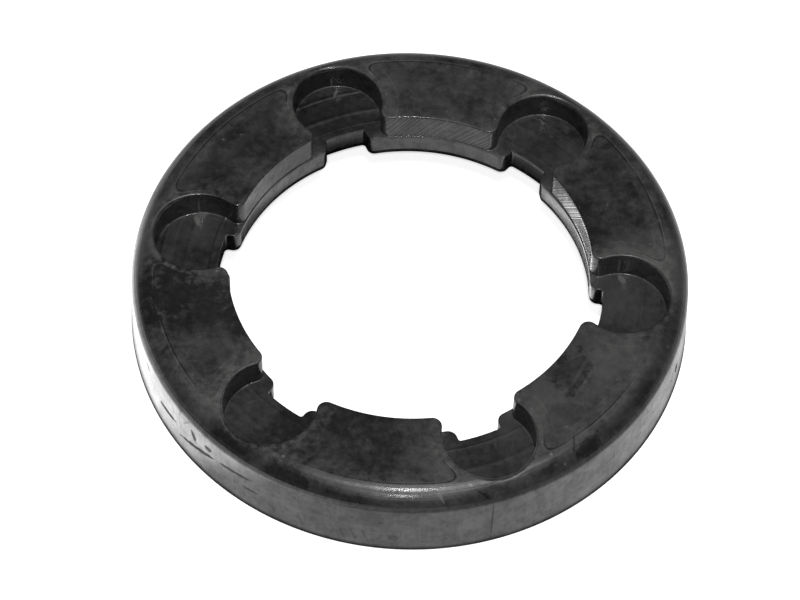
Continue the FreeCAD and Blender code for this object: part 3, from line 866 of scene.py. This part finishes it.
def paperGlow(tree):
    # How bright the paper is in the rubber's reflections, all painted: a painted pool of light towards one
    # side, and inside the bore towards the other, painted shade under the ring and fading far away from it
    place = add(tree, "TexCoord", output="Object")
    side, near, far = studio["paintedLightSide"]
    towards = (cos(radians(side)), sin(radians(side)), 0)
    along = add(tree, "VectorMath", [place, towards], output="Value", operation="DOT_PRODUCT")
    away = add(tree, "VectorMath", [place], output="Value", operation="LENGTH")
    inputs = [along, near * mm, far * mm, *studio["floorMirrored"]]
    bright = add(tree, "MapRange", inputs, interpolation_type="SMOOTHSTEP")
    start, stop, gain = studio["paintedLightInside"]
    opposite = add(tree, "MapRange", [along, -start * mm, -stop * mm, 0.0, gain])
    inner, outer = studio["boreSide"]
    inside = add(tree, "MapRange", [away, inner * mm, outer * mm, 1.0, 0.0])
    bright = add(tree, "Math", [opposite, inside, bright], operation="MULTIPLY_ADD")
    # painted shade under the ring
    edges = [r * mm for r in studio["paintedShadeUnderRing"]]
    bore = add(tree, "MapRange", [away, edges[0], edges[1], 1.0, 0.0], interpolation_type="SMOOTHSTEP")
    beyond = add(tree, "MapRange", [away, edges[2], edges[3], 0.0, 1.0], interpolation_type="SMOOTHSTEP")
    shade = add(tree, "Math", [bore, beyond], operation="MAXIMUM")
    start, stop, least = studio["farPaper"]
    fade = add(tree, "MapRange", [away, start * mm, stop * mm, 1.0, least], interpolation_type="SMOOTHSTEP")
    shade = add(tree, "Math", [shade, fade], operation="MULTIPLY")
    return add(tree, "Math", [bright, shade], operation="MULTIPLY")


def whitePaper():
    # white paper lit past the point where the photograph clips: plain diffuse, with a lift of
    # its own to the camera and the full brightness of such paper in the rubber's reflections
    material = bpy.data.materials.new("whitePaper")
    material.use_nodes = True
    tree = material.node_tree
    tree.nodes.remove(tree.nodes["Principled BSDF"])
    paper = add(tree, "BsdfDiffuse", {"Color": fromHex(studio["floor"])})
    lift = add(tree, "Emission", {"Strength": studio["floorLift"]})
    lifted = add(tree, "AddShader", [paper, lift])
    # in reflections the paper glows with the painted light and painted shade of paperGlow
    mirrored = add(tree, "Emission", {"Strength": paperGlow(tree)})
    ray = add(tree, "LightPath").node.outputs
    seen = add(tree, "MixShader", [ray["Is Camera Ray"], paper, lifted])
    shown = add(tree, "MixShader", [ray["Is Glossy Ray"], seen, mirrored])
    tree.links.new(shown, tree.nodes["Material Output"].inputs["Surface"])
    return material


def makeFloor():
    # one large square of paper in the plane that the ring stands on
    half = studio["floorHalf"]
    mesh = bpy.data.meshes.new("studioFloor")
    corners = [(-half, -half, 0), (half, -half, 0), (half, half, 0), (-half, half, 0)]
    mesh.from_pydata(corners, [], [(0, 1, 2, 3)])
    mesh.materials.append(whitePaper())
    floor = bpy.data.objects.new("studioFloor", mesh)
    bpy.context.scene.collection.objects.link(floor)


makeFloor()
print("floor done")

# The camera that was fitted to the photograph
camera = {
    "lens": 135.6,
    "sensor": 36,            # mm wide
    "distance": 816.2,       # from the middle of the rim's plane, mm
    "turn": 7.84,            # degrees round the axis
    "elevation": 56.11,
    "yaw": -0.0031,          # radians, off the line to that middle
    "pitch": -0.0026,
    "roll": -0.0328,
}


def makeCamera():
    # it looks at the axis from its elevation, turned by the three small angles and then round
    # the axis
    rise = radians(camera["elevation"])
    back = Vector((0, -cos(rise), sin(rise)))
    right = Vector((1, 0, 0))
    up = back.cross(right)
    axes = Matrix((right, up, back))
    y, p, r = camera["yaw"], camera["pitch"], camera["roll"]
    yaw = Matrix(((cos(y), 0, sin(y)), (0, 1, 0), (-sin(y), 0, cos(y))))
    pitch = Matrix(((1, 0, 0), (0, cos(p), -sin(p)), (0, sin(p), cos(p))))
    roll = Matrix(((cos(r), -sin(r), 0), (sin(r), cos(r), 0), (0, 0, 1)))
    turn = Matrix.Rotation(radians(camera["turn"]), 3, "Z")
    axes = roll @ pitch @ yaw @ axes @ turn.transposed()
    place = axes.transposed().to_4x4()
    place.translation = turn @ back * camera["distance"] * mm
    data = bpy.data.cameras.new("photoCamera")
    data.sensor_width = camera["sensor"]
    data.lens = camera["lens"]
    eye = bpy.data.objects.new("photoCamera", data)
    eye.matrix_world = place
    bpy.context.scene.collection.objects.link(eye)
    bpy.context.scene.camera = eye


def makeLamp(name, lamp):
    # an area lamp that looks at the middle of the ring
    data = bpy.data.lights.new(name, "AREA")
    data.shape = "RECTANGLE"
    data.size, data.size_y = lamp["size"]
    data.energy = lamp["power"]
    light = bpy.data.objects.new(name, data)
    place = Vector(lamp["place"])
    light.matrix_world = (-place).to_track_quat("-Z", "Y").to_matrix().to_4x4()
    light.matrix_world.translation = place
    bpy.context.scene.collection.objects.link(light)


def makeRoom():
    # the world is white to the camera and a dim room to everything else
    world = bpy.data.worlds.new("softRoom")
    bpy.context.scene.world = world
    world.use_nodes = True
    tree = world.node_tree
    cameraRay = add(tree, "LightPath", output="Is Camera Ray")
    level = add(tree, "MapRange", [cameraRay, 0.0, 1.0, studio["room"], 1.0])
    sky = tree.nodes["Background"]
    sky.inputs["Color"].default_value = (1, 1, 1, 1)
    tree.links.new(level, sky.inputs["Strength"])


makeCamera()
for lampName, lampValues in lamps.items():
    makeLamp(lampName, lampValues)
makeRoom()
bpy.context.scene.view_settings.view_transform = "Standard"
print("camera and lights done")

bpy.context.view_layer.update()
